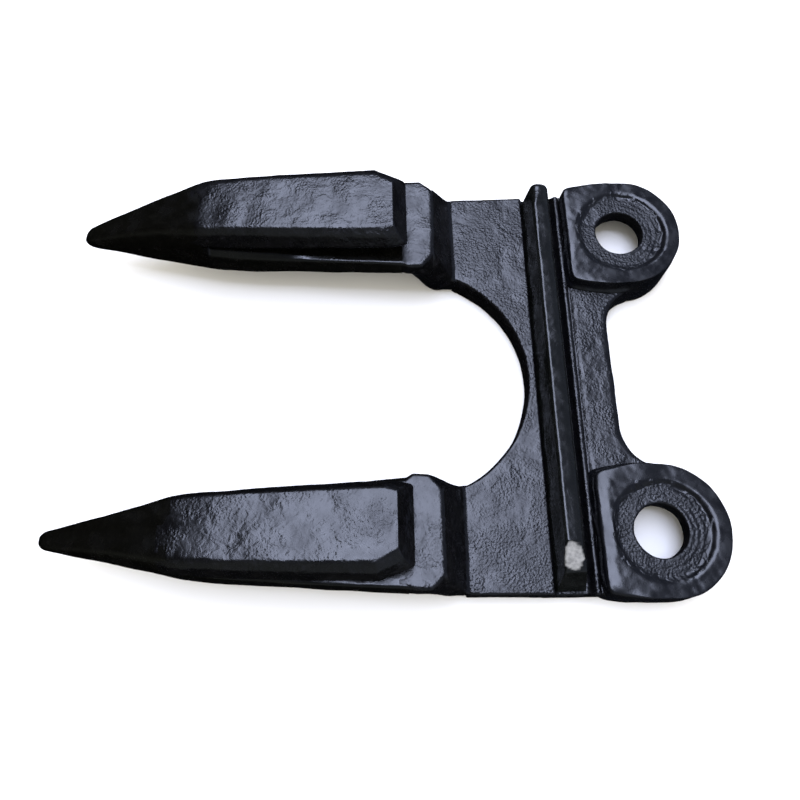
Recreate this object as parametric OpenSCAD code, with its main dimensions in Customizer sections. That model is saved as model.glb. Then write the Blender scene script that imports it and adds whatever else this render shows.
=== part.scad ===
// Double knife guard: two pointed fingers on one cross plate, for a 3 inch cutterbar.
// Millimetres. The origin lies midway between the two bolt holes, on the underside.
// +Z is up, the finger tips point along -X, and the bolt ears are at the rear.

/* [Bolts and ears] */
// Distance between the bolt holes, which is also the distance between the fingers
pitch = 76.2; // [72:0.1:80]
// Diameter of each bolt hole
bolt_d = 12; // [10:0.5:13]
// Diameter of the spot face round each bolt hole
spot_d = 21.5; // [18:0.5:24]
// Depth of the spot face below the top of the ear
spot_depth = 0.9; // [0.2:0.1:1.2]
// Diameter of the countersink under each ear
sink_d = 24; // [16:0.5:24]
// Outer radius of each bolt ear
ear_r = 15.4; // [14:0.1:17]
// Height of the ear's top above the underside
ear_h = 10.6; // [9:0.1:12]
// Distance from the bolt hole forward to the ear's front edge
ear_front = 13.4; // [12:0.1:13.6]
// Distance from the bolt hole to the ear's inner edge at the front
ear_inner = 14.2; // [13:0.1:15]
// Distance from the bolt hole to the ear's outer edge at the front
ear_outer = 13.4; // [12:0.1:15]
// Radius of the ear's inner front corner
ear_corner_r = 3; // [1:0.5:4]

/* [Cross plate] */
// Thickness of the plate where the knife back runs over it
plate_t = 6.6; // [5:0.1:8]
// Thickness of the rear flange between the ears
flange_t = 7.2; // [6:0.1:9]
// Depth of the valley that the trash bar stands in, below the knife floor
valley_depth = 1.4; // [0.5:0.1:2]
// Distance from the bolt holes forward to the rear edge of the flange
flange_rear = 5; // [3:0.5:7]
// Distance from the bolt holes forward to the rear edge of the knife floor
floor_rear = 24.1; // [24.1:0.1:26]
// Distance from the bolt holes forward to the front edge of the knife floor
floor_front = 43; // [41:0.5:45]
// Half of the plate's width at its front edge
plate_half_front = 51; // [50:0.1:52]
// Radius of the round throat between the fingers
throat_r = 30.2; // [28:0.1:31]
// Distance from the bolt holes forward to the back of the throat
throat_back = 26; // [25.5:0.1:28]
// Radius of the hollow corner between the flange and each ear
hollow_r = 10; // [8:0.5:12]

/* [Trash bar] */
// Distance from the bolt holes forward to the middle of the trash bar
bar_x = 20.4; // [20.3:0.1:20.5]
// Width of the trash bar at its foot, which fills the valley
bar_foot_w = 6.8; // [6:0.1:6.8]
// Width of the trash bar at its top
bar_top_w = 4; // [3:0.1:5]
// Height of the trash bar's top above the underside
bar_h = 14.6; // [12:0.1:17]
// Length of the trash bar to each side of the middle
bar_half_l = 50.5; // [48:0.5:51]
// Length of the ground facet on the trash bar's left end
facet_l = 6.5; // [4:0.5:8]

/* [Fingers] */
// Height of the ledger, which the knife sections slide on
ledger_h = 15.6; // [14:0.1:17]
// Height of the knife slot between ledger and lip
slot_h = 4.8; // [4.5:0.1:6]
// Distance from the bolt holes to the front of the ledger's heel
heel_front = 57; // [56:0.5:60]
// Distance from the bolt holes to the rear edge of the heel's top
heel_rear = 48.4; // [47:0.1:50]
// Half of the heel's width
heel_half = 12.6; // [12:0.1:13.5]
// Cut across the heel's two rear corners
heel_corner = 3; // [1:0.5:4]
// Half of the heel's width where its foot meets the plate
heel_foot = 11.6; // [11:0.1:12.6]
// Distance from the bolt holes to the front end of the knife slot
slot_front = 104; // [100:0.5:108]
// Distance from the bolt holes to the finger tips
tip_x = 136.5; // [130:0.5:145]
// Height of the finger tips above the underside
tip_z = 10; // [8:0.5:12]
// How much less a finger's inner flank stands out than its outer one
inner_draw = 1.2; // [0:0.1:1.6]
// Radius of the finger tips
tip_r = 1.9; // [1:0.1:2.5]

/* [Lips] */
// Height of the lip's top at its rear end
lip_h_rear = 25.3; // [24:0.1:27]
// Height of the lip's top at its front end
lip_h_front = 24.5; // [23.5:0.1:26]
// Distance from the bolt holes to the rear edge of the lip's top
lip_rear = 58; // [57:0.1:60]
// How far the lip's rear end slopes back from its top edge to its foot
lip_slope = 3.4; // [1:0.1:4]

/* [Hidden] */
$fn = 96;

paint = [0.09, 0.09, 0.11];
paint_light = [0.16, 0.16, 0.19];
half_pitch = pitch / 2;
slot_top = ledger_h + slot_h;
valley_z = plate_t - valley_depth;
// Centre of the hollow corner's circle, which touches the flange and the ear's round
hollow_x = hollow_r - flange_rear;
hollow_y = half_pitch - sqrt(pow(ear_r + hollow_r, 2) - hollow_x * hollow_x);
touch_x = hollow_x * ear_r / (ear_r + hollow_r);
plate_half_rear = half_pitch + ear_outer;
sink_depth = (sink_d - bolt_d) / 2;
throat_x = -throat_back - throat_r;

// Stations along a finger: distance forward, half-width and height of the top edge,
// half-width and height of the parting line, half-width and height of the keel
prong = [
    [heel_front, 11.9, ledger_h, 12.8, 12.8, 3.2, 0],
    [82, 10.3, ledger_h, 10.9, 10.7, 2.8, 0.6],
    [slot_front, 8, ledger_h, 8.7, 8.9, 2.4, 2.4]
];
nose = [
    [slot_front, 6, lip_h_front, 8.7, 8.9, 2.4, 2.4],
    [112, 4.6, lip_h_front - 2.6, 6.9, 8.8, 2.1, 3.6],
    [122, 2.8, lip_h_front - 6.2, 4.8, 9.2, 1.7, 5.2],
    [tip_x - 3, 1.3, tip_z + 3.2, 2.4, tip_z, 1.2, tip_z - 2.6],
    [tip_x - 1, 0.8, tip_z + 1.8, 1.6, tip_z, 0.7, tip_z - 1.8]
];

// Skin over rings that all have the same number of points, closed at both ends
module loft(rings) {
    n = len(rings[0]);
    m = len(rings);
    points = [for (ring = rings) each ring];
    sides = [for (i = [0:m - 2], j = [0:n - 1])
        [i * n + j, i * n + (j + 1) % n, (i + 1) * n + (j + 1) % n, (i + 1) * n + j]];
    first = [for (j = [n - 1:-1:0]) j];
    last = [for (j = [0:n - 1]) (m - 1) * n + j];
    polyhedron(points = points, faces = concat(sides, [first], [last]), convexity = 4);
}

// Ring from the points [x, y, z, share of the inner draw] of one half; the other half mirrors it
function ring(half) = concat(
    [for (p = half) [p[0], p[1] - inner_draw * p[3], p[2]]],
    [for (i = [len(half) - 1:-1:0]) [half[i][0], -half[i][1], half[i][2]]]
);

// Ring of a prong at one station: ledger, parting line and keel
function prong_ring(s) = ring([[-s[0], s[1], s[2], 0.8], [-s[0], s[3], s[4], 0.6], [-s[0], s[5], s[6], 0]]);

// Ring of the nose at one station: a flat ridge, a bevel and a steep side on each half, and a keel
function nose_ring(s) = let (
    flare = s[3] - s[1],
    rise = s[2] - s[4],
    draw = 0.25 * flare
) ring([
    [-s[0], s[1], s[2], 0], [-s[0], s[1] + 0.6 * flare, s[4] + 0.9 * rise, draw],
    [-s[0], s[1] + 0.97 * flare, s[4] + 0.6 * rise, draw], [-s[0], s[3], s[4], draw], [-s[0], s[5], s[6], 0]
]);

// Places a left-hand sub-part, drawn round its own centre line with its outer side towards -Y
module on_left() {
    translate([0, -half_pitch, 0]) children();
}

// Places the same sub-part on the right, mirrored so that its outer side faces +Y
module on_right() {
    translate([0, half_pitch, 0]) mirror([0, 1, 0]) children();
}

// Outline of one ear round its bolt hole, outer side towards -Y
module ear_outline() {
    intersection() {
        circle(r = ear_r);
        translate([-ear_front, -ear_r]) square([ear_front + ear_r, 2 * ear_r]);
    }
    polygon([[-ear_front, ear_inner - ear_corner_r], [-ear_front, -ear_outer], [0, -ear_r],
             [0, ear_r], [-ear_front + ear_corner_r, ear_inner]]);
    translate([-ear_front + ear_corner_r, ear_inner - ear_corner_r]) circle(r = ear_corner_r);
}

// Bolt ear: a bore, a spot face for the nut on top and a countersink for the bolt head below
module ear() {
    difference() {
        linear_extrude(ear_h) ear_outline();
        translate([0, 0, -1]) cylinder(d = bolt_d, h = ear_h + 2);
        translate([0, 0, ear_h - spot_depth]) cylinder(d = spot_d, h = spot_depth + 1);
        cylinder(d1 = sink_d, d2 = bolt_d, h = sink_depth);
    }
}

// Outline of the cross plate, less the throat, the ears and the hollow corners
module plate_outline() {
    difference() {
        polygon([
            [-floor_front, -plate_half_front], [-bar_x, -plate_half_rear],
            [-ear_front, -plate_half_rear], [touch_x, -half_pitch], [touch_x, -hollow_y],
            [-flange_rear, -hollow_y], [-flange_rear, hollow_y], [touch_x, hollow_y],
            [touch_x, half_pitch], [-ear_front, plate_half_rear],
            [-bar_x, plate_half_rear], [-floor_front, plate_half_front]
        ]);
        translate([throat_x, 0]) circle(r = throat_r);
        for (side = [-1, 1]) translate([hollow_x, side * hollow_y]) circle(r = hollow_r);
        on_left() ear_outline();
        on_right() ear_outline();
    }
}

// Side view of the plate: knife floor, valley of the trash bar, ridge, fine groove and flange
module plate_profile() {
    polygon([
        [-floor_front, 0], [hollow_x + 1, 0], [hollow_x + 1, flange_t - 0.2],
        [-ear_front, flange_t - 0.2], [-ear_front - 0.6, flange_t - 0.7],
        [-ear_front - 1.2, flange_t], [-ear_front - 2, flange_t],
        [-ear_front - 3, valley_z], [-floor_rear + 0.2, valley_z],
        [-floor_rear, plate_t], [-floor_front, plate_t]
    ]);
}

module cross_plate() {
    color(paint) intersection() {
        linear_extrude(ear_h) plate_outline();
        translate([0, plate_half_rear + 1, 0]) rotate([90, 0, 0])
            linear_extrude(2 * plate_half_rear + 2) plate_profile();
    }
}

module left_ear() {
    color(paint_light) on_left() ear();
}

module right_ear() {
    color(paint_light) on_right() ear();
}

// Rib across the whole plate that keeps chaff off the knife back
module trash_bar() {
    rise = bar_h - valley_z;
    shallow_end = bar_half_l - 3;
    color(paint_light) difference() {
        translate([-bar_x, bar_half_l, valley_z]) rotate([90, 0, 0]) linear_extrude(2 * bar_half_l)
            polygon([[-bar_foot_w / 2, 0], [bar_foot_w / 2, 0],
                     [bar_top_w / 2, rise], [-bar_top_w / 2, rise]]);
        // The left end is ground off in two facets, a shallow one and a steep one
        translate([-bar_x, 0, 0]) rotate([90, 0, -90])
            linear_extrude(bar_foot_w + 2, center = true)
                polygon([[shallow_end - facet_l, bar_h], [shallow_end, bar_h - 2],
                         [bar_half_l, valley_z + 1.5], [bar_half_l + 1, valley_z + 1.5],
                         [bar_half_l + 1, bar_h + 1], [shallow_end - facet_l, bar_h + 1]]);
    }
}

// Block that joins a finger to the cross plate: the ledger's rear end above, a slope behind it
module heel() {
    color(paint_light) hull() {
        // Section that meets the finger
        loft([for (x = [0, 0.01]) [for (p = prong_ring(prong[0])) p + [x, 0, 0]]]);
        // Ledger level, with its two rear corners cut off
        translate([0, 0, ledger_h - 2]) linear_extrude(2)
            polygon([[-heel_front, -11.4], [-heel_front + 3, -heel_half],
                     [-heel_rear - heel_corner, -heel_half], [-heel_rear, heel_corner - heel_half],
                     [-heel_rear, heel_half - heel_corner], [-heel_rear - heel_corner, heel_half],
                     [-heel_front + 3, heel_half], [-heel_front, 11.4]]);
        // Foot against the plate's front edge
        linear_extrude(plate_t)
            polygon([[-floor_front - 7.4, -heel_foot], [-floor_front, half_pitch - plate_half_front],
                     [-floor_front, heel_foot], [-floor_front - 7.4, heel_foot]]);
    }
}

module left_heel() {
    on_left() heel();
}

module right_heel() {
    on_right() heel();
}

// Lower half of a finger: ledger, drafted sides and keel, closing into the solid nose
module finger() {
    color(paint) {
        loft([for (s = prong) prong_ring(s)]);
        loft([for (s = nose) nose_ring(s)]);
        hull() for (z = [0, 1.6])
            translate([-tip_x + tip_r, 0, tip_z - 0.8 + z]) sphere(r = tip_r, $fn = 32);
    }
}

module left_finger() {
    on_left() finger();
}

module right_finger() {
    on_right() finger();
}

// Ring of a lip: flat top, a shallow bevel and a steep flaring side on each half
function lip_ring(top, top_z, bevel, bevel_z, foot, x_top, x_foot) = ring([
    [x_top, top, top_z, 0], [x_top, bevel, bevel_z, 0.8], [x_foot, foot, slot_top, 1]
]);

// Lip over the knife slot, with cut rear corners and a sloping rear end
module lip() {
    rear_foot = lip_slope - lip_rear;
    color(paint) hull() loft([
        lip_ring(6, lip_h_front, 7.6, lip_h_front - 1.4, 8.6, -slot_front, -slot_front),
        lip_ring(7.5, lip_h_rear - 0.1, 9.7, lip_h_rear - 1.2, 10.9, -lip_rear - 4, -lip_rear - 4),
        lip_ring(6.4, lip_h_rear, 7.4, lip_h_rear - 0.8, 8.6, -lip_rear, rear_foot)
    ]);
}

module left_lip() {
    on_left() lip();
}

module right_lip() {
    on_right() lip();
}

cross_plate();
left_ear();
right_ear();
trash_bar();
left_heel();
right_heel();
left_finger();
right_finger();
left_lip();
right_lip();
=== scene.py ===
from math import pi, radians

import bmesh
import bpy
import numpy as np
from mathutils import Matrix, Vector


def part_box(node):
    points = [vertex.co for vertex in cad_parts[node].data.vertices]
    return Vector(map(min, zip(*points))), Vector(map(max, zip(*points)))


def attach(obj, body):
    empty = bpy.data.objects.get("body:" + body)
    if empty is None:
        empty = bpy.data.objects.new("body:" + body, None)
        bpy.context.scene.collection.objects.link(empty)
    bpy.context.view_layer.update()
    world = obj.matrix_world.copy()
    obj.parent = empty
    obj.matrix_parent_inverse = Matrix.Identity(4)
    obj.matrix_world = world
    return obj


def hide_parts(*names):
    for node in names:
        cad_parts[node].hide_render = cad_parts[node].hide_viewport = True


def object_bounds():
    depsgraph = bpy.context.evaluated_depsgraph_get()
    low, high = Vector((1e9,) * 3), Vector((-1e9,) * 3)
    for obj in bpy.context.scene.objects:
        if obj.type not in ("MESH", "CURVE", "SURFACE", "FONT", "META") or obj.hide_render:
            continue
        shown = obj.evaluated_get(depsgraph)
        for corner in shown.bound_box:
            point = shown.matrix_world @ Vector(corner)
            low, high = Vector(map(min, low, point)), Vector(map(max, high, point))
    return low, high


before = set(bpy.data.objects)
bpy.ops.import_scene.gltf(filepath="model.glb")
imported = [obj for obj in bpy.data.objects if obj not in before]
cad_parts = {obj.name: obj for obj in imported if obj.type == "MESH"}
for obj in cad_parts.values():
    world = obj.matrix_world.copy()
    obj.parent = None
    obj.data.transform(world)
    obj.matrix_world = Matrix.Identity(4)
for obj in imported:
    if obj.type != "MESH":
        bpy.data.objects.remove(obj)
cad_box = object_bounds()


# ---------------------------------------------------------------- cross plate
# The flat web that carries both fingers: a knife floor at the front, a valley for the trash bar, a thin
# ridge and a rear flange. It is drop forged steel with a round throat, dipped in gloss black paint over
# the forging scale.
mm = 0.001
plate_low, plate_high = (np.array(corner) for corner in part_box("cross_plate"))
half_pitch = 38.1 * mm
floor_front = plate_low[0]
floor_rear = -24.1 * mm
floor_z = 6.6 * mm
valley_z = 5.2 * mm
ear_front = -13.4 * mm
flange_rear = -5 * mm
throat_r = 30.2 * mm
throat_x = -56.2 * mm
hollow_r = 10 * mm
hollow_x = 5 * mm
hollow_y = 13.24 * mm
touch_y = 23.05 * mm
plate_side_round = 0.8 * mm


def eased(points, cuts, counts, arc=6):
    """Open line through the points with its inner corners eased. Each corner turns into a quadratic curve
    between two points that are set back from it by its cut; counts says into how many steps each straight
    stretch goes."""
    points = np.asarray(points, float)
    step = np.diff(points, axis=-2)
    length = np.maximum(np.linalg.norm(step, axis=-1, keepdims=True), 1e-9)
    along = step / length
    room = 0.48 * np.minimum(length[..., :-1, :], length[..., 1:, :])
    cut = np.minimum(np.asarray(cuts, float)[..., None], room)
    corners = points[..., 1:-1, :]
    before = corners - along[..., :-1, :] * cut
    after = corners + along[..., 1:, :] * cut
    starts = np.concatenate([points[..., :1, :], after], axis=-2)
    ends = np.concatenate([before, points[..., -1:, :]], axis=-2)
    t = np.linspace(0, 1, arc + 1)[1:-1, None]
    line = []
    for j, count in enumerate(counts):
        s = np.linspace(0, 1, count + 1)[:, None]
        line.append(starts[..., j:j + 1, :] * (1 - s) + ends[..., j:j + 1, :] * s)
        if j < len(counts) - 1:
            line.append(before[..., j:j + 1, :] * (1 - t) ** 2 + corners[..., j:j + 1, :] * 2 * t * (1 - t)
                        + after[..., j:j + 1, :] * t ** 2)
    return np.concatenate(line, axis=-2)


def rise(x, start, end):
    """Smooth step: 0 before start, 1 after end, and a cubic S between them."""
    t = np.clip((x - start) / (end - start), 0, 1)
    return t * t * (3 - 2 * t)


def uneven(points, wave, seed, count=28):
    """Uneven skin of a forging: the sum of cosine waves about one wavelength long in random directions."""
    rng = np.random.default_rng(seed)
    direction = rng.normal(size=(count, 3))
    direction /= np.linalg.norm(direction, axis=1, keepdims=True)
    number = 2 * pi / (wave * rng.uniform(0.6, 1.5, count))
    phase = rng.uniform(0, 2 * pi, count)
    return np.cos(points @ (direction * number[:, None]).T + phase).sum(1) / np.sqrt(count / 2)


def forging(name, grid, paint, capped=True, bumps=(), marks=None):
    """Closed mesh over a grid of lines. Where it is capped, strips join the two halves of the first and the
    last line; points that coincide are welded, so a line may shrink to a point. bumps are (wavelength, depth,
    seed): each moves the skin along its normal by that depth, less on the flat undersides. marks gives the
    share of worked surface at each point, which is kept as the attribute worked."""
    rows, around = grid.shape[:2]
    at = np.arange(rows * around).reshape(rows, around)
    faces = [np.stack([at[:-1, :-1], at[:-1, 1:], at[1:, 1:], at[1:, :-1]], axis=-1).reshape(-1, 4)]
    if capped:
        half = around // 2
        for line in (at[0], at[-1]):
            near, far = line[:half], line[::-1][:half]
            faces.append(np.stack([near[:-1], near[1:], far[1:], far[:-1]], axis=-1))
    mesh = bpy.data.meshes.new(name)
    mesh.from_pydata(grid.reshape(-1, 3).tolist(), [], np.concatenate(faces).tolist())
    work = bmesh.new()
    work.from_mesh(mesh)
    bmesh.ops.remove_doubles(work, verts=work.verts, dist=0.004 * mm)
    bmesh.ops.dissolve_degenerate(work, edges=work.edges, dist=0.001 * mm)
    bmesh.ops.recalc_face_normals(work, faces=work.faces)
    work.to_mesh(mesh)
    work.free()
    mesh.shade_smooth()
    mesh.update()
    points = np.empty(len(mesh.vertices) * 3)
    normals = np.empty(len(mesh.vertices) * 3)
    mesh.vertices.foreach_get("co", points)
    mesh.vertices.foreach_get("normal", normals)
    points = points.reshape(-1, 3)
    normals = normals.reshape(-1, 3)
    shift = sum(depth * uneven(points, wave, seed) for wave, depth, seed in bumps)
    shift = shift * rise(normals[:, 2], -0.9, -0.5)
    points = np.clip(points + normals * np.reshape(shift, (-1, 1)), cad_box[0], cad_box[1])
    mesh.vertices.foreach_set("co", points.ravel())
    if marks is not None:
        layer = mesh.attributes.new("worked", "FLOAT", "POINT")
        layer.data.foreach_set("value", marks(points))
    mesh.update()
    mesh.set_sharp_from_angle(angle=radians(50))
    piece = bpy.data.objects.new(name, mesh)
    bpy.context.scene.collection.objects.link(piece)
    mesh.materials.append(paint)
    return piece


def group_socket(group, name, kind, way, value=None):
    """One named socket of a node group, with its default."""
    socket = group.interface.new_socket(name=name, in_out=way, socket_type=kind)
    if value is not None:
        socket.default_value = value
    return socket


def pebbled_skin():
    """Node group for painted forging scale: fine pebbles about half a millimetre across, in patches whose
    extent Cover sets, and flowing wrinkles. Puts out the height, a roughness and the paint's colour."""
    group = bpy.data.node_groups.new("pebbled_skin", "ShaderNodeTree")
    group_socket(group, "Vector", "NodeSocketVector", "INPUT")
    group_socket(group, "Colour", "NodeSocketColor", "INPUT", (0.005, 0.005, 0.006, 1))
    group_socket(group, "Dust", "NodeSocketColor", "INPUT", (0.02, 0.02, 0.024, 1))
    group_socket(group, "Roughness", "NodeSocketFloat", "INPUT", 0.3)
    group_socket(group, "Pebbles", "NodeSocketFloat", "INPUT", 1.0)
    group_socket(group, "Wrinkles", "NodeSocketFloat", "INPUT", 1.0)
    group_socket(group, "Cover", "NodeSocketFloat", "INPUT", 0.5)
    group_socket(group, "Height", "NodeSocketFloat", "OUTPUT")
    group_socket(group, "Skin Roughness", "NodeSocketFloat", "OUTPUT")
    group_socket(group, "Skin Colour", "NodeSocketColor", "OUTPUT")
    nodes, link = group.nodes, group.links.new
    given = nodes.new("NodeGroupInput")
    result = nodes.new("NodeGroupOutput")

    def noise(scale, detail, distortion):
        node = nodes.new("ShaderNodeTexNoise")
        node.inputs["Scale"].default_value = scale
        node.inputs["Detail"].default_value = detail
        node.inputs["Distortion"].default_value = distortion
        link(given.outputs["Vector"], node.inputs["Vector"])
        return node.outputs["Fac"]

    def spread(value, low, high, to_low, to_high):
        node = nodes.new("ShaderNodeMapRange")
        node.inputs["From Min"].default_value = low
        node.inputs["From Max"].default_value = high
        node.inputs["To Min"].default_value = to_low
        node.inputs["To Max"].default_value = to_high
        link(value, node.inputs["Value"])
        return node.outputs["Result"]

    def combine(operation, first, second):
        node = nodes.new("ShaderNodeMath")
        node.operation = operation
        for socket, value in zip(node.inputs, (first, second)):
            if isinstance(value, float):
                socket.default_value = value
            else:
                link(value, socket)
        return node.outputs["Value"]

    cells = nodes.new("ShaderNodeTexVoronoi")
    cells.feature = "SMOOTH_F1"
    cells.inputs["Scale"].default_value = 1700
    cells.inputs["Smoothness"].default_value = 0.6
    link(given.outputs["Vector"], cells.inputs["Vector"])
    pebble = combine("ADD", cells.outputs["Distance"], noise(2600, 3.0, 0.0))
    patch = spread(combine("ADD", noise(110, 4.0, 0.6), given.outputs["Cover"]), 0.94, 1.1, 0.12, 1.0)
    wrinkle = spread(noise(520, 2.5, 1.2), 0.3, 0.7, 0.0, 1.0)
    pebble = combine("MULTIPLY", combine("MULTIPLY", pebble, patch), given.outputs["Pebbles"])
    wrinkle = combine("MULTIPLY", wrinkle, given.outputs["Wrinkles"])
    link(combine("ADD", pebble, wrinkle), result.inputs["Height"])
    worn = spread(noise(260, 4.0, 0.2), 0.35, 0.7, -0.06, 0.1)
    link(combine("ADD", given.outputs["Roughness"], worn), result.inputs["Skin Roughness"])
    tint = nodes.new("ShaderNodeMix")
    tint.data_type = "RGBA"
    link(spread(noise(700, 5.0, 0.3), 0.52, 0.78, 0.0, 1.0), tint.inputs["Factor"])
    link(given.outputs["Colour"], tint.inputs["A"])
    link(given.outputs["Dust"], tint.inputs["B"])
    link(tint.outputs["Result"], result.inputs["Skin Colour"])
    return group


def black_paint(name, colour, dust, roughness, pebbles, wrinkles, cover, depth, offset=(0, 0, 0)):
    """Gloss black paint on a forged skin; offset moves the pattern so that no two pieces repeat."""
    material = bpy.data.materials.new(name)
    material.use_nodes = True
    nodes, link = material.node_tree.nodes, material.node_tree.links.new
    shader = nodes["Principled BSDF"]
    shader.inputs["IOR"].default_value = 1.55
    shader.inputs["Specular IOR Level"].default_value = 0.5
    where = nodes.new("ShaderNodeTexCoord")
    mapping = nodes.new("ShaderNodeMapping")
    mapping.inputs["Location"].default_value = offset
    skin = nodes.new("ShaderNodeGroup")
    skin.node_tree = bpy.data.node_groups.get("pebbled_skin") or pebbled_skin()
    skin.name = "skin"
    skin.inputs["Colour"].default_value = (*colour, 1)
    skin.inputs["Dust"].default_value = (*dust, 1)
    skin.inputs["Roughness"].default_value = roughness
    skin.inputs["Pebbles"].default_value = pebbles
    skin.inputs["Wrinkles"].default_value = wrinkles
    skin.inputs["Cover"].default_value = cover
    bump = nodes.new("ShaderNodeBump")
    bump.name = "bump"
    bump.inputs["Strength"].default_value = 1.0
    bump.inputs["Distance"].default_value = depth
    link(where.outputs["Object"], mapping.inputs["Vector"])
    link(mapping.outputs["Vector"], skin.inputs["Vector"])
    link(skin.outputs["Height"], bump.inputs["Height"])
    link(bump.outputs["Normal"], shader.inputs["Normal"])
    link(skin.outputs["Skin Roughness"], shader.inputs["Roughness"])
    link(skin.outputs["Skin Colour"], shader.inputs["Base Color"])
    return material


def plate_grid():
    """Side view of the plate carried across its width. The front edge follows the throat's circle and the
    rear edge the hollows beside the ears; near its two outer sides the side view gets lower by a quarter
    round."""
    share = np.concatenate([[-1], np.linspace(-1, -0.985, 7)[1:], np.linspace(-0.98, 0.98, 250),
                            np.linspace(0.985, 1, 7)[:-1], [1]])
    y = share * plate_high[1]
    side = np.abs(y)
    mouth = np.clip(throat_r ** 2 - y ** 2, 0, None)
    front = np.maximum(floor_front, throat_x + np.sqrt(mouth))
    hollow = hollow_x - np.sqrt(np.clip(hollow_r ** 2 - (side - hollow_y) ** 2, 0, None))
    rear = np.where(side < hollow_y, flange_rear, np.where(side < touch_y, hollow, 3 * mm))
    under_ear = 3 * mm + (ear_front + mm - 3 * mm) * rise(side, 25.5 * mm, 27 * mm)
    rear = np.where(side > 25.5 * mm, under_ear, rear)
    lean = np.where(side < 27.1 * mm, side / np.sqrt(throat_r ** 2 - np.minimum(side, 27.1 * mm) ** 2), 0)
    stretch = np.sqrt(1 + lean ** 2)
    inset = np.clip(1 - (plate_high[1] - side) / plate_side_round, 0, 1)
    fall = plate_side_round * (1 - np.sqrt(np.clip(1 - inset ** 2, 0, 1)))
    flange_z = plate_high[2]
    zero = np.zeros_like(y)
    ridge = np.minimum(rear, ear_front - mm)

    def line(*points):
        return np.stack([np.stack([zero + x, zero + z], axis=-1) for x, z in points], axis=-2)

    wall = 0.5 * floor_z
    floor_end = np.maximum(floor_rear, front + 0.9 * mm)
    groove_end = np.maximum(ridge + 1.6 * mm, np.minimum(rear - 2 * mm, ear_front))
    top = line((front, wall), (front, floor_z - fall), (floor_end, floor_z - fall),
               (floor_end + 0.6 * mm, valley_z - fall), (ear_front - 2.8 * mm, valley_z - fall),
               (ear_front - 1.75 * mm, flange_z - fall), (ear_front - 0.9 * mm, flange_z - fall),
               (ridge + 0.5 * mm, flange_z - 0.7 * mm - fall), (groove_end, flange_z - 0.2 * mm - fall),
               (rear, flange_z - 0.2 * mm - fall), (rear, wall))
    base = line((front, wall), (front, fall), (rear, fall), (rear, wall))
    other_cuts = [zero + cut * mm for cut in (0.4, 0.9, 1.2, 0.7, 0.55, 0.3, 1.2, 2.4)]
    top_cut = np.stack([0.9 * mm * stretch] + other_cuts, axis=-1)
    counts = (5, 36, 3, 14, 4, 2, 3, 3, 24, 5)
    upper = eased(top, top_cut, counts)
    rest = upper.shape[1] - 5 - 5 - 2 * 6
    lower = eased(base, (0.8 * mm, 0.8 * mm), (5, rest, 5))
    lower = lower[:, :upper.shape[1]]
    outline = np.concatenate([upper, lower[:, ::-1]], axis=1)
    half_width = np.interp(outline[..., 0], [floor_front, -20 * mm],
                           [plate_high[1] - 0.5 * mm, plate_high[1]])
    return np.stack([outline[..., 0], share[:, None] * half_width, outline[..., 1]], axis=-1)


def closed(grid):
    """The grid with its first point repeated after its last, so that each line closes on itself."""
    return np.concatenate([grid, grid[:, :1]], axis=1)


plate_paint = black_paint("plate_paint", (0.0012, 0.0012, 0.0018), (0.004, 0.004, 0.006), 0.29, 1.7, 0.4,
                          0.56, 0.065 * mm)
plate = forging("plate_forging", closed(plate_grid()), plate_paint,
                bumps=[(9 * mm, 0.035 * mm, 11), (2.6 * mm, 0.01 * mm, 12)])
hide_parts("cross_plate")
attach(plate, "root")


# ----------------------------------------------------------------------- ears
# Two round bolt ears behind the plate, forged with it. Each has a drilled hole, a rough spot face that
# seats the nut, a smooth painted pad round it, and a countersink for the bolt's head below.
ear_high = np.array(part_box("right_ear")[1])
ear_top = ear_high[2]
ear_r = 15.4 * mm
bore_r = 6 * mm
spot_r = 10.75 * mm
spot_z = ear_top - 0.9 * mm
sink_r = 12 * mm


def ear_reach(turn):
    """Distance from the hole to the ear's outline in direction turn: a power mean of its straight sides and
    its round rear, which leaves the front corners rounded. Direction 0 is to the rear and a quarter turn is
    outward. Each side is (the two parts of its normal, its distance in millimetres)."""
    c, s = np.cos(turn), np.sin(turn)
    sides = [(-1, 0, 13.9), (-0.08, 1, 15.2), (-0.1, -1, 15.9)]
    pull = [np.clip(c * a + s * b, 1e-6, None) / np.hypot(a, b) * (1 / (d * mm)) for a, b, d in sides]
    pull.append(np.where(c > 0, 1, 1 - 0.3 * np.clip(-c, 0, 1)) / ear_r)
    sharp = 22
    return sum(p ** sharp for p in pull) ** (-1 / sharp)


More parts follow.
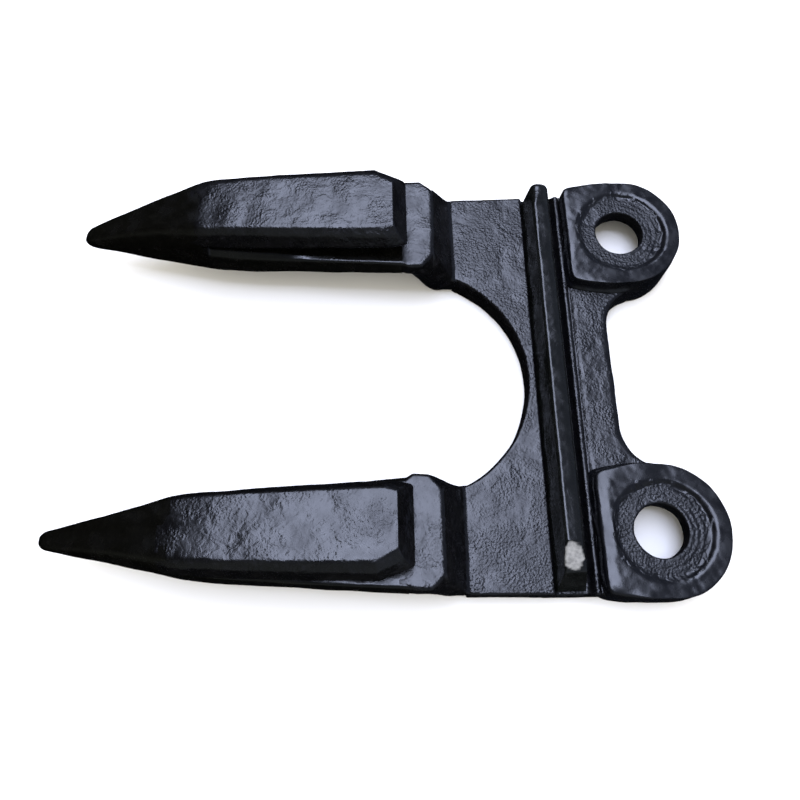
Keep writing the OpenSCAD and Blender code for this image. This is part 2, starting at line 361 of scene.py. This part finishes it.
def ear_grid(side):
    """Cross-section from the hole outward, carried round it: bore, spot face with turned rings that are
    deepest at the rear, pad, drafted wall, underside and countersink. The front of the pad is tilted, more on
    the left ear. Towards the plate the wall ends in a hollow fillet."""
    turn = np.linspace(0, 2 * pi, 289)
    reach = ear_reach(turn)
    zero = np.zeros_like(turn)
    inner = rise(-np.sin(turn), 0.1, 0.5) * rise(-np.cos(turn), -0.25, 0.05)
    foot = reach + 0.9 * mm * inner
    spot = spot_r + (0.4 * np.cos(turn) + 0.12 * np.cos(3 * turn + 1)) * mm
    front = rise(-np.cos(turn), 0.2, 0.8) * (1 if side < 0 else 0.45)

    def line(*points):
        return np.stack([np.stack([zero + r, zero + z], axis=-1) for r, z in points], axis=-2)

    sink_top = sink_r - bore_r
    section = line((bore_r, sink_top), (bore_r, spot_z), (spot - 0.5 * mm, spot_z),
                   (spot + 0.6 * mm, ear_top),
                   (reach - (0.6 + 2.3 * front) * mm, ear_top),
                   (reach - 0.3 * mm, ear_top - (0.05 + 0.5 * front ** 2) * mm),
                   (reach - 0.1 * mm, plate_high[2] + 0.9 * mm),
                   (foot, plate_high[2] - 0.2 * mm), (reach, 1.5 * mm), (reach, 0), (sink_r, 0),
                   (bore_r, sink_top))
    cuts = np.array((0.5, 0.9, 0.9, 1.2, 0.8, 0.8, 0.6, 0.3, 0.7, 0.3)) * mm
    ring = eased(section, zero[:, None] + cuts, (10, 34, 2, 10, 5, 4, 3, 4, 3, 8, 8))
    seat = rise(ring[..., 0], bore_r, bore_r + 0.8 * mm) * rise(spot_r - ring[..., 0], -0.4 * mm, 0.5 * mm)
    ring_depth = (0.008 + 0.03 * rise(np.cos(turn), -0.2, 0.8))[:, None]
    marks = np.cos(2 * pi * ring[..., 0] / (1.3 * mm)) * ring_depth * mm
    ring[..., 1] += marks * seat * (ring[..., 1] > spot_z - 0.6 * mm)
    x = ring[..., 0] * np.cos(turn)[:, None]
    y = half_pitch + ring[..., 0] * np.sin(turn)[:, None]
    return np.stack([x, side * y, ring[..., 1]], axis=-1)


def seat_mark(points):
    """1 on the spot face, with a ragged rim, and 0 elsewhere."""
    away = np.hypot(points[:, 0], np.abs(points[:, 1]) - half_pitch) + 0.5 * mm * uneven(points, 2.5 * mm, 26)
    upper = rise(points[:, 2], 0.6 * ear_top, 0.7 * ear_top)
    return (1 - rise(away, spot_r - 0.8 * mm, spot_r + 0.4 * mm)) * upper


for side, word in ((-1, "left"), (1, "right")):
    ear_paint = black_paint(f"{word}_ear_paint", (0.0014, 0.0016, 0.0026), (0.004, 0.0045, 0.007), 0.25,
                            0.5, 0.15, 0.32, 0.06 * mm, (0.1 * side, 0.02, 0))
    nodes, link = ear_paint.node_tree.nodes, ear_paint.node_tree.links.new
    seat = nodes.new("ShaderNodeAttribute")
    seat.attribute_name = "worked"
    for socket, smooth, rough in (("Pebbles", 0.5, 2.6), ("Wrinkles", 0.15, 1.2), ("Cover", 0.32, 0.6),
                                 ("Roughness", 0.25, 0.34)):
        level = nodes.new("ShaderNodeMapRange")
        level.inputs["To Min"].default_value = smooth
        level.inputs["To Max"].default_value = rough
        link(seat.outputs["Fac"], level.inputs["Value"])
        link(level.outputs["Result"], nodes["skin"].inputs[socket])
    ear = forging(f"{word}_ear_forging", ear_grid(side), ear_paint, capped=False, marks=seat_mark,
                  bumps=[(8 * mm, 0.05 * mm, 20 + side), (2.2 * mm, 0.012 * mm, 23 + side)])
    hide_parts(f"{word}_ear")
    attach(ear, "root")


# ------------------------------------------------------------------ trash bar
# Rolled steel rib, welded into the plate's valley to keep chaff off the knife back. Its left end is ground
# off in two facets, the upper one down to bare steel; its right end is left round.
bar_low, bar_high = (np.array(corner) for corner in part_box("trash_bar"))
bar_x = 0.5 * (bar_low[0] + bar_high[0])
bar_foot = 0.5 * (bar_high[0] - bar_low[0])
bar_top = 2.1 * mm
grind_start = -40.5 * mm
grind_end = -47 * mm


def bar_grid():
    """Cross-section of the bar carried along it: a foot, leaning sides and a top that is a little lower at
    the rear. The top's height falls over two straight facets at the left end, and in a quarter round at the
    right end."""
    y = np.concatenate([np.linspace(-50.5, -40, 60), np.linspace(-39.6, 46.8, 216),
                        np.linspace(47.2, 50.5, 24)]) * mm
    top = np.interp(y, [bar_low[1], grind_end, grind_start],
                    [valley_z + 1.6 * mm, bar_high[2] - 2 * mm, bar_high[2]])
    nose = np.clip((y - (bar_high[1] - 1.4 * mm)) / (1.4 * mm), 0, 1)
    top = top - 1.2 * mm * (1 - np.sqrt(1 - nose ** 2))
    slim = 1 - 0.4 * (1 - np.sqrt(1 - nose ** 2))
    lean = (bar_foot - bar_top) / (bar_high[2] - valley_z)
    half_top = (bar_foot - lean * (top - valley_z)) * slim
    zero = np.zeros_like(y)

    def line(*points):
        return np.stack([np.stack([zero + x, zero + z], axis=-1) for x, z in points], axis=-2)

    foot = bar_foot * slim
    level = 0.4 * mm * rise(y, grind_end, grind_start + 3 * mm)
    section = line((0, valley_z), (-foot, valley_z), (-half_top, top), (half_top, top - level),
                   (foot, valley_z), (0, valley_z))
    end = rise(y, bar_high[1] - 7 * mm, bar_high[1] - 2 * mm)
    blunt = 0.55 * mm * rise(y, grind_end - mm, grind_start + mm) + 0.25 * mm + 1.2 * mm * end
    cuts = np.stack([zero + 0.2 * mm, blunt, 2.4 * blunt, zero + 0.2 * mm], axis=-1)
    ring = eased(section, cuts, (3, 20, 6, 20, 3))
    return np.stack([bar_x + ring[..., 0], np.repeat(y[:, None], ring.shape[1], 1), ring[..., 1]], axis=-1)


def ground(points):
    """1 on the bar's shallow ground facet, inside an ellipse with a ragged rim, and 0 elsewhere."""
    along = (points[:, 1] - 0.5 * (grind_start + grind_end)) / (3.1 * mm)
    across = (points[:, 0] - bar_x + 0.5 * mm) / (2.1 * mm)
    rim = 0.12 * uneven(points, 1.5 * mm, 31)
    height = bar_high[2] - 2 * mm * (grind_start - points[:, 1]) / (grind_start - grind_end)
    near_top = rise(points[:, 2], height - 0.7 * mm, height - 0.35 * mm)
    return near_top * (1 - rise(along ** 2 + across ** 2 + rim, 0.8, 1.1))


bar_paint = black_paint("bar_paint", (0.0022, 0.0026, 0.0026), (0.006, 0.007, 0.007), 0.22, 0.35, 0.4, 0.42,
                        0.06 * mm, (0.3, 0.1, 0))
nodes, link = bar_paint.node_tree.nodes, bar_paint.node_tree.links.new
worked = nodes.new("ShaderNodeAttribute")
worked.attribute_name = "worked"
scratch = nodes.new("ShaderNodeTexNoise")
scratch.inputs["Scale"].default_value = 1400
scratch.inputs["Detail"].default_value = 4
link(nodes["Texture Coordinate"].outputs["Object"], scratch.inputs["Vector"])
steel = nodes.new("ShaderNodeMix")
steel.data_type = "RGBA"
steel.inputs["A"].default_value = (0.05, 0.052, 0.055, 1)
steel.inputs["B"].default_value = (0.36, 0.36, 0.36, 1)
link(scratch.outputs["Fac"], steel.inputs["Factor"])
show = nodes.new("ShaderNodeMix")
show.data_type = "RGBA"
link(worked.outputs["Fac"], show.inputs["Factor"])
link(nodes["skin"].outputs["Skin Colour"], show.inputs["A"])
link(steel.outputs["Result"], show.inputs["B"])
link(show.outputs["Result"], nodes["Principled BSDF"].inputs["Base Color"])
bar = forging("trash_bar_rib", bar_grid(), bar_paint, marks=ground,
              bumps=[(7 * mm, 0.05 * mm, 32), (1.8 * mm, 0.012 * mm, 33)])
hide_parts("trash_bar")
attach(bar, "root")


# -------------------------------------------------------------------- fingers
# The two pointed fingers that part the crop. Each is a forged prong with a flat ledger that the knife
# slides on, drafted sides and a narrow keel, and ends in a solid nose. The ledger's front end stops
# against the nose. The inner flanks are drawn in, on the right finger less than on the left one.
finger_low, finger_high = (np.array(corner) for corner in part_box("right_finger"))
tip_x = finger_low[0]
ledger_z = 15.6 * mm
slot_z = 20.4 * mm
slot_front = -104 * mm
heel_front = finger_high[0]
inner_draw = {-1: 1.2 * mm, 1: 0.4 * mm}


def flow(x, stations):
    """Smooth curve through stations (place, value): cubic pieces whose slopes are the mean of their
    neighbours'."""
    place, value = np.array(stations, float).T
    order = np.argsort(place)
    place, value = place[order], value[order]
    slope = np.gradient(value, place)
    i = np.clip(np.searchsorted(place, x) - 1, 0, len(place) - 2)
    width = place[i + 1] - place[i]
    t = np.clip((x - place[i]) / width, 0, 1)
    return ((1 + 2 * t) * (1 - t) ** 2 * value[i] + t * (1 - t) ** 2 * width * slope[i]
            + t * t * (3 - 2 * t) * value[i + 1] + t * t * (t - 1) * width * slope[i + 1])


def crest(f):
    """Height of the top line of lip and nose over the distance f in millimetres forward of the bolt holes."""
    return flow(f, [(57, 25.25), (62, 25.2), (80, 24.95), (92, 24.75), (99, 24.5), (104, 23.95), (112, 21.7),
                    (122, 18.1), (133.5, 13.2), (137, 11.6)]) * mm


def finger_grid(side):
    """Outer and inner half sections from the keel's middle up to the top's middle, carried along the finger.
    The ledger's edges drop towards the nose. The nose has a flat ridge, a bevel and a steep side on each
    half. At the slot's front end the ledger rises in a small hollow to the nose; the tip closes in a half
    round."""
    x = np.concatenate([np.linspace(heel_front + mm, slot_front + 1.2 * mm, 110),
                        np.linspace(slot_front + 1.1 * mm, slot_front, 14),
                        np.linspace(slot_front - 0.3 * mm, tip_x + 2.4 * mm, 80),
                        tip_x + 2.4 * mm * (1 - np.sin(np.linspace(0, pi / 2, 16)[1:]))])
    f = -x / mm
    keel = flow(f, [(56, 3.2), (82, 2.8), (104, 2.4), (122, 1.7), (133.5, 1.1), (137, 0.7)]) * mm
    keel_z = flow(f, [(56, 0), (70, 0.15), (82, 0.6), (104, 2.4), (112, 3.6), (122, 5.2), (133.5, 7.3),
                      (137, 8.2)]) * mm
    part = flow(f, [(56, 13.1), (67, 12.3), (82, 11.0), (104, 8.8), (112, 7), (122, 4.85), (133.5, 2.5),
                    (137, 1.7)]) * mm
    part_z = flow(f, [(56, 12.9), (82, 10.7), (104, 8.9), (112, 8.8), (122, 9.2), (133.5, 10),
                      (137, 10)]) * mm
    ledger = flow(f, [(56, 11.9), (82, 10.4), (104, 8.3), (112, 7)]) * mm
    ridge = flow(f, [(95, 6.5), (104, 6.0), (112, 4.5), (122, 2.8), (133.5, 1.3), (137, 0.9)]) * mm
    ridge_z = crest(f)
    flare = part - ridge
    height = ridge_z - part_z
    wall = np.clip((slot_front + 1.1 * mm - x) / (1.1 * mm), 0, 1)
    up = np.where(wall >= 1, 1, 0.42 * (1 - np.sqrt(1 - wall ** 2)))
    lobe = np.clip((tip_x + 2.4 * mm - x) / (2.4 * mm), 0, 1)
    blunt = np.sqrt(np.clip(1 - lobe ** 2, 0, 1))

    def between(low, high):
        return low + (high - low) * up

    def half(*points):
        return np.stack([np.stack([y, z], axis=-1) for y, z in points], axis=-2)

    zero = np.zeros_like(x)
    edge_z = ledger_z - 1.6 * mm * rise(f, 64, 100)
    tip_z = 10 * mm
    soft = 0.7 * mm + 0.5 * mm * rise(-x, -slot_front, -slot_front + 6 * mm)
    cuts = np.stack([zero + 1.0 * mm, zero + 1.2 * mm, soft, 0.8 * soft, soft], axis=-1)
    halves = []
    for draw in (0, inner_draw[side]):
        fade = draw * np.clip(flare / (2.7 * mm), 0, 1) * 0.68
        section = half((zero, keel_z), (keel, keel_z), (part - np.minimum(0.6 * draw, fade), part_z),
                       (between(ledger - 0.8 * draw, ridge + 0.97 * flare - fade),
                        between(edge_z, part_z + 0.6 * height)),
                       (between(0.8 * ledger, ridge + 0.6 * flare - fade),
                        between(ledger_z, part_z + 0.9 * height)),
                       (between(0.6 * ledger, ridge), between(ledger_z, ridge_z)),
                       (zero, between(ledger_z, ridge_z)))
        section[..., 0] *= blunt[:, None]
        section[..., 1] = tip_z + (section[..., 1] - tip_z) * blunt[:, None]
        halves.append(eased(section, cuts, (3, 24, 14, 8, 6, 8)))
    ring = np.concatenate([halves[0], halves[1][:, ::-1] * [-1, 1]], axis=1)
    return np.stack([np.repeat(x[:, None], ring.shape[1], 1), side * half_pitch + side * ring[..., 0],
                     ring[..., 1]], axis=-1)


for side, word in ((-1, "left"), (1, "right")):
    finger_paint = black_paint(f"{word}_finger_paint", (0.0009, 0.0009, 0.0007), (0.0025, 0.0025, 0.002),
                               0.22, 1.6, 0.12, 0.3, 0.06 * mm, (0.05 * side, 0.4, 0))
    finger = forging(f"{word}_finger_forging", finger_grid(side), finger_paint,
                     bumps=[(11 * mm, 0.05 * mm, 40 + side), (2.4 * mm, 0.008 * mm, 43 + side)])
    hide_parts(f"{word}_finger")
    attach(finger, "root")


# ---------------------------------------------------------------------- heels
# The block at the root of each finger: the ledger's broad rear end on top, and behind it a steep slope
# down to the knife floor. It is forged in one with finger and plate, so its two ends run a little into
# them.
def heel_grid(side):
    """Half sections carried from the finger back to the plate. The top stays level, drops down the rear slope
    and runs out just under the knife floor; the inner and outer halves have their own widths at the plate."""
    x = np.concatenate([np.linspace(-58, -50, 30), np.linspace(-49.8, -46.6, 34),
                        np.linspace(-46.4, -41.6, 34)]) * mm
    profile = eased([[-60 * mm, ledger_z], [-48.2 * mm, ledger_z], [-43.3 * mm, floor_z],
                     [-40 * mm, floor_z - 0.35 * mm]], [1.0 * mm, 1.1 * mm], (40, 20, 20), arc=10)
    top_z = np.interp(x, profile[:, 0], profile[:, 1])
    back = np.clip((x + 57 * mm) / (14 * mm), 0, 1)
    top = np.interp(x, np.array([-58, -57, -54.5, -51.2, -48.4, -43, -41]) * mm,
                    np.array([11.5, 11.6, 12.3, 12.2, 9.2, 12.1, 12.2]) * mm)
    part = np.interp(x, np.array([-58, -57, -54.5, -50, -43, -41]) * mm,
                     np.array([12.8, 12.8, 13.0, 12.9, 12.2, 12.1]) * mm)
    part_z = np.minimum(12.8 * mm - 7.9 * mm * rise(back, 0.35, 1), top_z - 1.2 * mm)
    keel = 3.2 * mm + 8.1 * mm * rise(back, 0, 0.75)
    zero = np.zeros_like(x)
    floor = zero + 0.02 * mm
    halves = []
    for swell, draw in ((1.055, 0), (0.96, inner_draw[side])):
        at_finger = 1 - rise(x, -57 * mm, -54.5 * mm)
        grow = 1 + (swell - 1) * rise(back, 0.2, 1) - draw / (16 * mm) * at_finger
        section = np.stack([np.stack([y, z], axis=-1) for y, z in (
            (zero, floor), (keel * grow, floor), (part * grow, part_z), (top * grow, top_z),
            (zero, top_z))], axis=-2)
        cuts = np.stack([zero + 1.2 * mm, zero + 1.2 * mm, zero + 1.0 * mm], axis=-1)
        halves.append(eased(section, cuts, (10, 16, 8, 22)))
    ring = np.concatenate([halves[0], halves[1][:, ::-1] * [-1, 1]], axis=1)
    return np.stack([np.repeat(x[:, None], ring.shape[1], 1), side * half_pitch + side * ring[..., 0],
                     ring[..., 1]], axis=-1)


for side, word in ((-1, "left"), (1, "right")):
    heel_paint = black_paint(f"{word}_heel_paint", (0.001, 0.001, 0.0014), (0.006, 0.006, 0.008), 0.27, 1.3,
                             0.45, 0.5, 0.055 * mm, (0.6, 0.1 * side, 0))
    heel = forging(f"{word}_heel_forging", heel_grid(side), heel_paint,
                   bumps=[(8 * mm, 0.05 * mm, 50 + side), (2 * mm, 0.01 * mm, 53 + side)])
    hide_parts(f"{word}_heel")
    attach(heel, "root")


# ----------------------------------------------------------------------- lips
# The lip over each ledger holds the knife down. It is a flat bar with bevelled sides and cut rear corners,
# and its rear end slopes back. Its front end is forged into the nose.
lip_high = np.array(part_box("right_lip")[1])
lip_rear = -58 * mm
lip_lean = 3.4 / 4.9


def lip_grid(side):
    """Half sections carried back from the nose: flat top, narrow bevel and steep side, which hangs lower
    towards the nose. The outer half has the longer corner cut and the inner half is drawn in. The last ones
    lean back by the slope of the rear end, and the rear face is the last section shrinking onto its middle.
    The front dives a little way into the nose."""
    x = np.concatenate([np.linspace(-106.5, -64, 110), np.linspace(-63.7, -58, 26)]) * mm
    f = -x / mm
    top_z = crest(f)
    dive = 1 - 0.03 * rise(f, 103.5, 106.5)
    hang = slot_z - 1.6 * mm * rise(f, 62, 102)
    zero = np.zeros_like(x)
    halves = []
    for draw, place, cut in ((0, 62.4, 2.4), (inner_draw[side], 60.4, 0.7)):
        near = np.clip((place - f) / (place - 58), 0, 1)
        top = flow(f, [(50, 7.6), (70, 7.2), (95, 6.5), (104, 6.0), (112, 4.5)]) * mm
        top = top - cut * mm * near
        bevel = flow(f, [(50, 9.9), (70, 9.25), (95, 8.2), (104, 7.62), (112, 6.0)]) * mm
        bevel = bevel - 1.2 * cut * mm * near - 0.8 * draw
        foot = flow(f, [(50, 11.1), (70, 10.6), (95, 9.4), (104, 8.6), (112, 7.0)]) * mm
        foot = foot - 1.15 * cut * mm * near - draw * (1 - 0.32 * rise(f, 90, 104))
        section = np.stack([np.stack([y, z], axis=-1) for y, z in (
            (zero, zero + slot_z), (foot - 0.3 * mm, hang), (foot, hang + 0.7 * mm),
            (bevel, top_z - 1.35 * mm), (top, top_z), (zero, top_z))], axis=-2)
        section[..., 0] *= dive[:, None]
        soft = 0.6 * mm + 1.6 * mm * rise(f, 92, 104)
        cuts = np.stack([zero + 0.3 * mm, zero + 0.4 * mm, zero + 0.55 * mm, soft], axis=-1)
        halves.append(eased(section, cuts, (12, 3, 10, 5, 24)))
    ring = np.concatenate([halves[0], halves[1][:, ::-1] * [-1, 1]], axis=1)
    lean = lip_lean * rise(x, -64 * mm, lip_rear)[:, None]
    grid = np.stack([x[:, None] + lean * (top_z[:, None] - ring[..., 1]), ring[..., 0],
                     ring[..., 1] * dive[:, None] + slot_z * (1 - dive[:, None])], axis=-1)
    rim = grid[-1]
    middle = np.array([rim[:, 0].mean(), 0, 0.5 * (slot_z + lip_high[2])])
    turn = np.linspace(0, pi / 2, 7)[1:]
    shrink = np.concatenate([1 - 0.06 * (1 - np.cos(turn)), np.linspace(0.94, 0, 16)[1:]])
    out = np.concatenate([0.35 * mm * np.sin(turn), np.full(15, 0.35 * mm)])
    face = middle + (rim - middle) * shrink[:, None, None]
    face[..., 0] += out[:, None] * np.cos(np.arctan(lip_lean)) - 0.35 * mm
    face[..., 2] += out[:, None] * np.sin(np.arctan(lip_lean)) * 0.3
    grid[-26:, :, 0] -= np.linspace(0, 0.35 * mm, 26)[:, None]
    grid = np.concatenate([grid, face])
    grid[..., 1] = side * (half_pitch + grid[..., 1])
    return grid


for side, word in ((-1, "left"), (1, "right")):
    lip_paint = black_paint(f"{word}_lip_paint", (0.001, 0.001, 0.0014), (0.004, 0.004, 0.006), 0.26, 1.4,
                            0.75, 0.5, 0.055 * mm, (0.8, 0.13 * side, 0))
    lip = forging(f"{word}_lip_forging", lip_grid(side), lip_paint,
                  bumps=[(9 * mm, 0.04 * mm, 60 + side), (2 * mm, 0.01 * mm, 63 + side)])
    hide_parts(f"{word}_lip")
    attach(lip, "root")


# ------------------------------------------------------------ floor and light
# A pale floor under the guard, one broad soft box overhead with a brighter strip at its near edge, and an
# even pale room. Mirror-like paint sees a dimmer room than the floor does, as it would with dark flags
# round the stage.
floor_mesh = bpy.data.meshes.new("floor")
floor_mesh.from_pydata([(-4, -4, 0), (4, -4, 0), (4, 4, 0), (-4, 4, 0)], [], [(0, 1, 2, 3)])
floor = bpy.data.objects.new("floor", floor_mesh)
bpy.context.scene.collection.objects.link(floor)
floor.visible_glossy = False
pale = bpy.data.materials.new("pale_floor")
pale.use_nodes = True
pale.node_tree.nodes["Principled BSDF"].inputs["Base Color"].default_value = (0.86, 0.86, 0.86, 1)
pale.node_tree.nodes["Principled BSDF"].inputs["Roughness"].default_value = 0.9
floor_mesh.materials.append(pale)

for name, radiance, low, high in (("soft_box", 7.4, (-0.383, -0.09), (0.197, 0.95)),
                                  ("strip_box", 15.0, (-0.383, -0.16), (0.197, -0.09))):
    lamp = bpy.data.lights.new(name, "AREA")
    lamp.shape = "RECTANGLE"
    lamp.size = high[0] - low[0]
    lamp.size_y = high[1] - low[1]
    lamp.energy = radiance * pi * lamp.size * lamp.size_y
    lamp.color = (0.68, 0.75, 1.0)
    lamp_object = bpy.data.objects.new(name, lamp)
    lamp_object.location = (0.5 * (low[0] + high[0]), 0.5 * (low[1] + high[1]), 1.0)
    bpy.context.scene.collection.objects.link(lamp_object)

room = bpy.data.worlds.new("room")
bpy.context.scene.world = room
room.use_nodes = True
nodes, link = room.node_tree.nodes, room.node_tree.links.new
direction = nodes.new("ShaderNodeTexCoord")
split = nodes.new("ShaderNodeSeparateXYZ")
link(direction.outputs["Generated"], split.inputs["Vector"])


def toward(axis, start, end, dark, bright):
    """Colour that runs from dark to bright as the ray's share along the axis runs from start to end."""
    share = nodes.new("ShaderNodeMapRange")
    share.inputs["From Min"].default_value = start
    share.inputs["From Max"].default_value = end
    link(split.outputs[axis], share.inputs["Value"])
    blend = nodes.new("ShaderNodeMix")
    blend.data_type = "RGBA"
    blend.inputs["A"].default_value = (*dark, 1)
    blend.inputs["B"].default_value = (*bright, 1)
    link(share.outputs["Result"], blend.inputs["Factor"])
    return blend.outputs["Result"]


def joined(kind, first, second):
    """Two colours added or multiplied."""
    blend = nodes.new("ShaderNodeMix")
    blend.data_type = "RGBA"
    blend.blend_type = kind
    blend.inputs["Factor"].default_value = 1
    link(first, blend.inputs["A"])
    link(second, blend.inputs["B"])
    return blend.outputs["Result"]


walls = joined("ADD", toward("X", -0.6, 0.6, (0.012, 0.012, 0.01), (0.16, 0.19, 0.28)),
               toward("Y", -0.3, -0.9, (0, 0, 0), (0.12, 0.13, 0.11)))
walls = joined("MULTIPLY", walls, toward("Z", -0.25, 0.05, (0.06, 0.06, 0.06), (1, 1, 1)))
ray = nodes.new("ShaderNodeLightPath")
choose = nodes.new("ShaderNodeMix")
choose.data_type = "RGBA"
link(ray.outputs["Is Glossy Ray"], choose.inputs["Factor"])
choose.inputs["A"].default_value = (1.3, 1.25, 1.12, 1)
link(walls, choose.inputs["B"])
link(choose.outputs["Result"], nodes["Background"].inputs["Color"])

# --------------------------------------------------------------------- camera
# Hand-held just left of the guard, about 16 cm above it and looking almost straight down.
lens = bpy.data.cameras.new("camera")
lens.lens = 31.0
lens.sensor_width = 36
lens.clip_start = 0.01
camera = bpy.data.objects.new("camera", lens)
camera.location = (-0.0581, -0.0609, 0.1622)
camera.rotation_euler = (radians(19.59), 0, radians(-1.02))
bpy.context.scene.collection.objects.link(camera)
bpy.context.scene.camera = camera
bpy.context.scene.view_settings.view_transform = "Standard"
